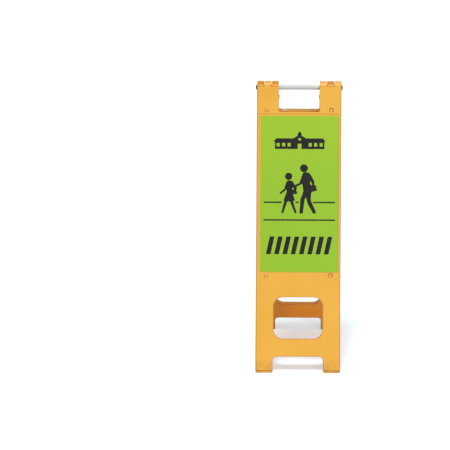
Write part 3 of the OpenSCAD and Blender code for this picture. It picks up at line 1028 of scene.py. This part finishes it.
DARK = plug_finish()
for side, turn in (("right", 0), ("left", math.pi)):
    mesh = spun(plug_outline(), False, PLUG_SIDES)
    mesh.normal_update()
    radii = {edge: min(vert.co.yz.length for vert in edge.verts) for edge in creased(mesh)}
    rims = [edge for edge, radius in radii.items() if radius > OUTERMOST * head_r]
    rounded(mesh, rims, HEAD_EDGE_R)
    mesh.transform(hinge @ Matrix.Rotation(turn, 4, "Z"))
    add_piece(f"{side}_tube_end", mesh, "handle", DARK, f"{side}_end_plug")

# %% [markdown]
# ## Fill plugs
# A pale cap closes the neck through which the hollow panel is filled with sand or water. It could
# be spun too, but the slot for a coin in its top isn't round, so a copy of the frame's plug is
# reworked: a wide radius round the top, where fingers touch it, and small ones everywhere else.

# %% Fill plug pieces
CAP_TOP_R = 0.8 * MM
CAP_EDGE_R = 0.15 * MM
CAP_CREASE = math.radians(60)
CAP_DIRT = (0.5, 0.38, 0.22)


def cap_finish():
    """Ivory moulded plastic with a little dirt in patches."""
    ivory = colour_of("cap_plastic")
    material, shader, place = new_finish("ivory_cap", 0.36, ivory)
    dirt = ranged(material, noise(material, place, 160, 5), 0.5, 0.8, 0, 0.25)
    join(material, tinted(material, ivory, dirt, CAP_DIRT), shader.inputs["Base Color"])
    bumped(material, shader, [(noise(material, place, 900, 2), GRAIN_FINE_H)])
    return material


def on_top(edge):
    """True at the outer edge of the cap's top."""
    low = min(vert.co.z for vert in edge.verts)
    wide = min((vert.co.xy - neck.xy).length for vert in edge.verts)
    return low > cap_high.z - NEAR and wide > OUTERMOST * cap_r


IVORY = cap_finish()
for side in TURNS:
    mesh = node_copy(f"{side}_fill_plug", side)
    mesh.normal_update()
    rounded(mesh, [edge for edge in creased(mesh) if on_top(edge)], CAP_TOP_R)
    mesh.normal_update()
    rounded(mesh, creased(mesh, CAP_CREASE), CAP_EDGE_R, 2)
    mesh.transform(lean_of(side))
    add_piece(f"{side}_ballast_cap", mesh, f"{side}_plug", IVORY, f"{side}_fill_plug")

# %% [markdown]
# ## Floor and light
# The photograph is a cut-out on white: a soft light from above the camera, a little to the left, and
# a shadow that is seen only close to the feet. The floor and the world are white to the camera, and
# to whatever mirrors them, by the Light Path node. The light on the stand stays at a plain level.

# %% Seen rays
def seen_rays(tree):
    """A value of 1 for rays from the camera or from a mirrored or clear surface, and 0 for light."""
    path = tree.nodes.new("ShaderNodeLightPath")
    value = path.outputs["Is Camera Ray"]
    for name in ("Is Glossy Ray", "Is Transmission Ray"):
        larger = tree.nodes.new("ShaderNodeMath")
        larger.operation = "MAXIMUM"
        tree.links.new(value, larger.inputs[0])
        tree.links.new(path.outputs[name], larger.inputs[1])
        value = larger.outputs["Value"]
    return value


def seen_strength(tree, socket, unseen, seen):
    """Drives a strength: one value for light on the stand, another for what is seen."""
    mapped = tree.nodes.new("ShaderNodeMapRange")
    mapped.inputs["To Min"].default_value = unseen
    mapped.inputs["To Max"].default_value = seen
    tree.links.new(seen_rays(tree), mapped.inputs["Value"])
    tree.links.new(mapped.outputs["Result"], socket)


# %% Floor
FLOOR_GREY = (0.78, 0.88, 0.95)
FLOOR_GLOW = 0.4
FLOOR_ROUGHNESS = 0.9
FLOOR_HALF = 30


def add_floor():
    """A white floor that keeps the stand's shadow."""
    mesh = bmesh.new()
    bmesh.ops.create_grid(mesh, x_segments=1, y_segments=1, size=FLOOR_HALF)
    data = bpy.data.meshes.new("floor")
    mesh.to_mesh(data)
    mesh.free()
    floor = bpy.data.objects.new("floor", data)
    bpy.context.scene.collection.objects.link(floor)
    material, shader, _ = new_finish("floor", FLOOR_ROUGHNESS, FLOOR_GREY)
    shader.inputs["Specular IOR Level"].default_value = 0
    shader.inputs["Emission Color"].default_value = (1, 1, 1, 1)
    seen_strength(material.node_tree, shader.inputs["Emission Strength"], 0, FLOOR_GLOW)
    data.materials.append(material)


add_floor()

# %% Lamps and world
WORLD_STRENGTH = 0.29


def add_sun(name, right, up, strength, soft):
    """A sun lamp, so many degrees right of the camera's direction and above the floor."""
    lamp = bpy.data.lights.new(name, "SUN")
    lamp.energy = strength
    lamp.angle = math.radians(soft)
    sun = bpy.data.objects.new(name, lamp)
    sun.rotation_euler = (math.radians(90 - up), 0, math.radians(right))
    bpy.context.scene.collection.objects.link(sun)


add_sun("key", right=-9, up=69, strength=1.66, soft=14)
add_sun("fill", right=26, up=12, strength=0.9, soft=12)

world = bpy.data.worlds.new("studio")
bpy.context.scene.world = world
world.use_nodes = True
sky = world.node_tree.nodes["Background"]
sky.inputs["Color"].default_value = (1, 1, 1, 1)
seen_strength(world.node_tree, sky.inputs["Strength"], WORLD_STRENGTH, 1)
bpy.context.scene.view_settings.view_transform = "Standard"
